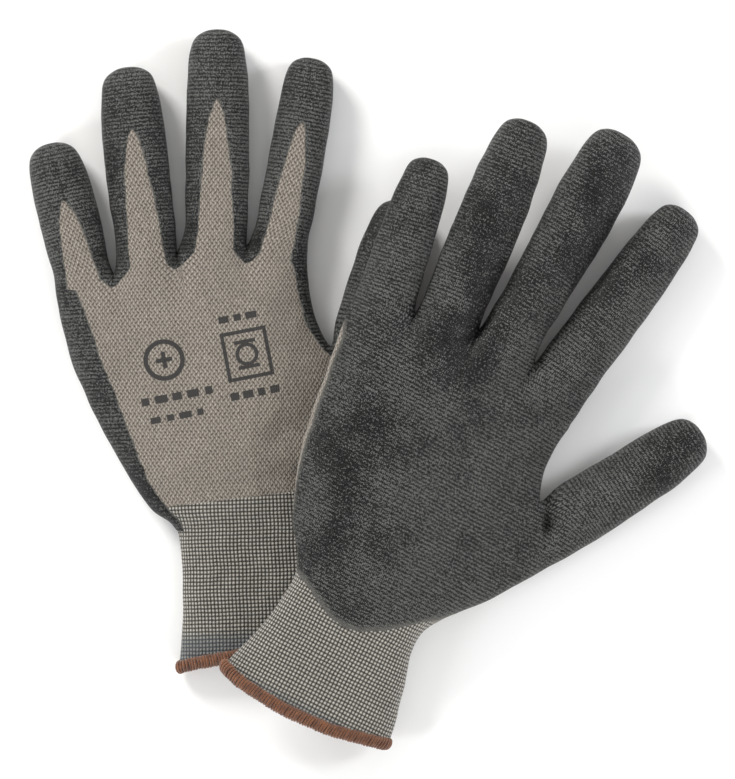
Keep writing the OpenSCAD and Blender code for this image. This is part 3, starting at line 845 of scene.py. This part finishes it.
def tubes(name, paths, radius, sides, closed):
    points, faces = [], []
    for path, thick in zip(paths, radius):
        count = len(path)
        start = len(points)
        for i in range(count):
            before = path[i - 1] if closed or i else path[i]
            after = path[(i + 1) % count] if closed or i < count - 1 else path[i]
            along = Vector(after) - Vector(before)
            along.normalize()
            side = along.orthogonal() if i == 0 else side - along * side.dot(along)
            side = side.normalized()
            other = along.cross(side)
            for k in range(sides):
                b = 2 * math.pi * k / sides
                points.append(Vector(path[i]) + (side * math.cos(b) + other * math.sin(b)) * thick)
        for i in range(count if closed else count - 1):
            for k in range(sides):
                a = start + i * sides
                b = start + ((i + 1) % count) * sides
                faces.append((a + k, a + (k + 1) % sides, b + (k + 1) % sides, b + k))
        if not closed:
            faces.append(tuple(range(start + sides - 1, start - 1, -1)))
            faces.append(tuple(range(start + (count - 1) * sides, start + count * sides)))
    mesh = bpy.data.meshes.new(name)
    # nothing sinks into the table
    mesh.from_pydata([(p[0], p[1], max(p[2], 0.05 * mm)) for p in points], [], faces)
    obj = bpy.data.objects.new(name, mesh)
    bpy.context.collection.objects.link(obj)
    mesh.shade_smooth()
    return obj


def buildHem(glove, cuff):
    pitch = 1.15
    point, normal, length = mouthLoop(cuff.data, 400)
    count = int(length / mm / pitch)
    point, normal, length = mouthLoop(cuff.data, count)
    a = math.radians(glove["turn"])
    out = np.array((math.sin(a), -math.cos(a), 0.0))
    paths, radii = [], []
    for i in range(count):
        along = point[(i + 1) % count] - point[i - 1]
        along /= np.linalg.norm(along)
        n = normal[i]
        # the thread goes over the edge and round it, a little askew
        lean = random.uniform(0.5, 0.8)
        thick = random.uniform(1.35, 1.6)
        long = random.uniform(2.05, 2.3)
        path = []
        for k in range(16):
            b = 2 * math.pi * k / 16
            path.append(point[i] + mm * (out * (long * math.cos(b) + 0.75) + n * (thick * math.sin(b) - 0.35)
                                         + along * lean * math.sin(b + 0.6)))
        paths.append(path)
        radii.append(random.uniform(0.52, 0.62) * mm)
    # two chain threads and the rolled edge under the loops
    for long, thick, radius in ((0.75, -0.35, 1.25), (-0.6, -0.35, 1.05), (1.7, -0.35, 1.0)):
        paths.append([point[i] + mm * (out * long + normal[i] * thick) for i in range(count)])
        radii.append(radius * mm)
    hem = tubes(glove["name"] + "_hemThread", paths, radii, 7, True)
    return hem


def buildElastic(glove):
    rows = glove["cuffRows"]
    paths = []
    for k in range(1, 6):
        y = rows[0][0] + (rows[-1][0] - rows[0][0]) * k / 6 + 2
        left, right, height = handSection(glove, y)
        ring = []
        for i in range(72):
            b = 2 * math.pi * i / 72
            q = math.cos(b)
            x = (left + right) / 2 + (right - left - 4.6) / 2 * q
            z = height / 2 + (height / 2 - 2.3) * math.copysign(superEllipse(q, 2.7), math.sin(b))
            ring.append(toWorld(glove, x, y, z + rise(glove, x)))
        paths.append(ring)
    return tubes(glove["name"] + "_elasticThread", paths, [0.28 * mm] * 5, 6, True)


def buildPrint(glove, shell):
    # flat marks laid on the back of the hand
    tree = BVHTree.FromObject(shell, bpy.context.evaluated_depsgraph_get())
    up = -1 if glove["palmUp"] else 1
    quads = []

    def bar(cx, cy, w, h):
        stepsX, stepsY = max(1, round(w / 0.6)), max(1, round(h / 0.6))
        for i in range(stepsX):
            for j in range(stepsY):
                x0, x1 = cx - w / 2 + w * i / stepsX, cx - w / 2 + w * (i + 1) / stepsX
                y0, y1 = cy - h / 2 + h * j / stepsY, cy - h / 2 + h * (j + 1) / stepsY
                quads.append(((x0, y0), (x1, y0), (x1, y1), (x0, y1)))

    def ringMark(cx, cy, inner, outer, start=0, end=360):
        steps = max(6, int((end - start) / 8))
        for i in range(steps):
            a0, a1 = (math.radians(start + (end - start) * (i + k) / steps) for k in (0, 1))
            for r0, r1 in ((inner, (inner + outer) / 2), ((inner + outer) / 2, outer)):
                quads.append(tuple((cx + r * math.cos(t), cy + r * math.sin(t))
                                   for r, t in ((r0, a0), (r1, a0), (r1, a1), (r0, a1))))

    ringMark(-29, 61, 4.9, 6.3)
    bar(-29, 61, 5, 1.3)
    bar(-29, 61, 1.3, 5)
    for k, w in enumerate((2.8, 4.6, 3.4, 4.2, 2.6)):
        bar(-37 + k * 4.9, 49.5, w * 0.85, 2.3)
    for k, w in enumerate((3.6, 2.6, 4.4, 2.2)):
        bar(-35 + k * 4.6, 43.5, w * 0.85, 1.9)
    for x, w, h, y in ((-10.5, 1.1, 14, 58), (2.5, 1.1, 14, 58), (-4, 14.1, 1.1, 65), (-4, 14.1, 1.1, 51)):
        bar(x, y, w, h)
    ringMark(-4, 58, 2.4, 3.5)
    bar(-4, 54.2, 6.5, 1.1)
    bar(-4, 61.9, 6.5, 1.1)
    for k, w in enumerate((3, 2.2, 3.4)):
        bar(-9 + k * 4.2, 69.5, w, 2)
    for k, w in enumerate((2.6, 3.2, 2.2, 2.8)):
        bar(-10 + k * 4.1, 46, w, 2.3)
    bm = bmesh.new()
    tilt = math.radians(9)
    for quad in quads:
        corners = []
        for x, y in quad:
            px, py = 1.28 * (x + 16), 1.28 * (y - 55)
            x = px * math.cos(tilt) - py * math.sin(tilt) - 17
            y = px * math.sin(tilt) + py * math.cos(tilt) + 55
            place = toWorld(glove, x, y, 0)
            hit, n, _, _ = tree.ray_cast(Vector((place.x, place.y, 0.1 * up)), Vector((0, 0, -up)))
            corners.append(bm.verts.new(hit + n * 0.05 * mm * (1 if n.z * up > 0 else -1)))
        bm.faces.new(corners if up > 0 else list(reversed(corners)))
    bmesh.ops.remove_doubles(bm, verts=bm.verts, dist=0.02 * mm)
    mesh = bpy.data.meshes.new(glove["name"] + "_marks")
    bm.to_mesh(mesh)
    bm.free()
    obj = bpy.data.objects.new(glove["name"] + "_marks", mesh)
    bpy.context.collection.objects.link(obj)
    mesh.shade_smooth()
    knit = np.zeros((len(mesh.vertices), 3), np.float32)
    a = math.radians(-glove["turn"])
    for v in mesh.vertices:
        px, py = v.co.x / mm - glove["wrist"][0], v.co.y / mm - glove["wrist"][1]
        x, y = px * math.cos(a) - py * math.sin(a), px * math.sin(a) + py * math.cos(a)
        knit[v.index] = (x, y, 0)
    layer = mesh.attributes.new("knitUp", "FLOAT_VECTOR", "POINT")
    layer.data.foreach_set("vector", knit.ravel())
    layer = mesh.attributes.new("knitDown", "FLOAT_VECTOR", "POINT")
    layer.data.foreach_set("vector", knit.ravel())
    return obj


def thicken(obj, thickness):
    bpy.ops.object.select_all(action="DESELECT")
    obj.select_set(True)
    bpy.context.view_layer.objects.active = obj
    wall = obj.modifiers.new("wall", "SOLIDIFY")
    wall.thickness = thickness
    wall.offset = -1
    wall.use_even_offset = False
    bpy.ops.object.modifier_apply(modifier="wall")


# ---- both gloves ----


def alongFinger(glove, finger, s):
    along = fingerAxes(finger)[0]
    x, y = finger["base"][0] + along[0] * s, finger["base"][1] + along[1] * s
    return tuple(toWorld(glove, x, y, finger["height"] / 2 + rise(glove, x)))


# wale, course and slant of the stitches
handStitch = (look["wale"], look["course"], 0.8)
cuffStitch = (look["cuffWale"], look["cuffCourse"], 0.3)
materials = {
    "upperKnit": knitMaterial("knitDown", "knitDown", "knit", *handStitch, False),
    "lowerKnit": knitMaterial("knitUp", "knitUp", "knit", *handStitch, False),
    "upperCuff": knitMaterial("cuffUp", "knitUp", "cuff", *cuffStitch, True),
    "lowerCuff": knitMaterial("cuffUpLower", "knitUp", "cuff", *cuffStitch, True),
    # the upper glove's wide grey edge band is partly a painted sheen
    "upperCoat": coatMaterial("coatUp", "knitUp", 3.6),
    "lowerCoat": coatMaterial("coatDown", "knitDown", 0.7),
    "hem": threadMaterial("hemThread", look["hemColour"], look["hemLight"]),
    "elastic": threadMaterial("elasticThread", (0.45, 0.43, 0.38), (0.7, 0.68, 0.62)),
    "upperPrint": printMaterial("printDown", "knitDown"),
    "lowerPrint": printMaterial("printUp", "knitUp"),
}


def buildGlove(glove):
    name = glove["name"]
    hand = name + "_hand"
    shell = buildShell(glove)
    shapeShell(glove, shell)
    coat = cutDip(shell, name + "_coat")
    keepNormals(shell)
    keepNormals(coat)
    layers = (("liner", shell, materials[name + "Knit"]), ("coating", coat, materials[name + "Coat"]))
    for layer, whole, material in layers:
        piece = partOf(whole, f"{name}_{layer}_palm", (0, 1) if layer == "coating" else (1,))
        setMaterial(piece, material)
        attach(piece, hand)
        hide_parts(f"{name}_{layer}")
        for n, finger in enumerate(glove["fingers"] + (glove["thumb"],)):
            half = finger["length"] * 0.5
            if name == "lower" and finger["name"] == "thumb":
                piece = partOf(whole, f"{name}_{layer}_thumb", (6, 16))
                setMaterial(piece, material)
                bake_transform(piece, hand, "lower_thumb", alongFinger(glove, finger, 1),
                         alongFinger(glove, finger, 14))
                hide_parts(f"lower_thumb_{layer}")
                continue
            base, tip = f"{name}_{finger['name']}_base", f"{name}_{finger['name']}_tip"
            piece = partOf(whole, f"{name}_{layer}_{finger['name']}_base", (2 + n,))
            setMaterial(piece, material)
            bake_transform(piece, hand, base, alongFinger(glove, finger, 1.5), alongFinger(glove, finger, 15))
            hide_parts(f"{base}_{layer}")
            piece = partOf(whole, f"{name}_{layer}_{finger['name']}_tip", (12 + n,))
            setMaterial(piece, material)
            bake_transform(piece, base, tip, alongFinger(glove, finger, half - 4),
                     alongFinger(glove, finger, half + 9))
            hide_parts(f"{tip}_{layer}")
    cuff = partOf(shell, name + "_cuffKnit", (0,))
    hem = buildHem(glove, cuff)
    thicken(cuff, 0.9 * mm)
    setMaterial(cuff, materials[name + "Cuff"])
    elastic = buildElastic(glove)
    marks = buildPrint(glove, shell)
    for piece, material, node, slot in (
        (cuff, None, "cuff", "cuff"), (hem, "hem", "hem", "hem"),
        (elastic, "elastic", "cuff_elastic", "elastic"),
        (marks, name + "Print", "size_print", "print"),
    ):
        if material:
            setMaterial(piece, materials[material])
        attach(piece, hand)
        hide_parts(f"{name}_{node}")
    for whole in (shell, coat):
        bpy.data.objects.remove(whole)
    print(name, "glove done")


buildGlove(lowerGlove)
buildGlove(upperGlove)

# ---- table, light and camera ----

bpy.ops.mesh.primitive_plane_add(size=4, location=(0, 0, -0.0003))
floor = bpy.context.object
floor.name = "floor"
material, tree, shader = newMaterial("paper")
shader.inputs["Base Color"].default_value = (0.93, 0.93, 0.925, 1)
shader.inputs["Roughness"].default_value = 0.9
shader.inputs["Specular IOR Level"].default_value = 0.1
setMaterial(floor, material)

world = bpy.context.scene.world or bpy.data.worlds.new("world")
bpy.context.scene.world = world
world.use_nodes = True
background = world.node_tree.nodes["Background"]
background.inputs["Color"].default_value = (1, 0.995, 0.985, 1)
background.inputs["Strength"].default_value = 0.58


def areaLight(name, place, target, size, power, colour):
    bpy.ops.object.light_add(type="AREA", location=place)
    light = bpy.context.object
    light.name = name
    light.data.shape = "RECTANGLE"
    light.data.size, light.data.size_y = size
    light.data.energy = power
    light.data.color = colour
    direction = Vector(target) - Vector(place)
    light.rotation_euler = direction.to_track_quat("-Z", "Y").to_euler()


areaLight("key", (-0.75, 0.95, 0.62), (0, 0, 0), (0.4, 0.4), 15, (1, 0.985, 0.96))
areaLight("side", (1.1, 0.3, 0.6), (0, 0, 0), (0.3, 0.5), 8, (0.95, 0.97, 1))
areaLight("low", (-1.05, -0.5, 0.5), (0, 0, 0), (0.3, 0.5), 7, (0.96, 0.98, 1))
areaLight("front", (0.5, -1.1, 0.5), (0, 0, 0), (0.5, 0.3), 6, (1, 0.99, 0.97))

# the picture is this wide at the height of the gloves' middle, in metres
cameraHeight, gloveMiddle, pictureWidth = 1.2, 0.008, 0.28665
bpy.ops.object.camera_add(location=(0, 0, cameraHeight), rotation=(0, 0, 0))
camera = bpy.context.object
camera.data.sensor_fit = "HORIZONTAL"
camera.data.sensor_width = 36
camera.data.lens = camera.data.sensor_width * (cameraHeight - gloveMiddle) / pictureWidth
bpy.context.scene.camera = camera
bpy.context.scene.view_settings.view_transform = "Standard"
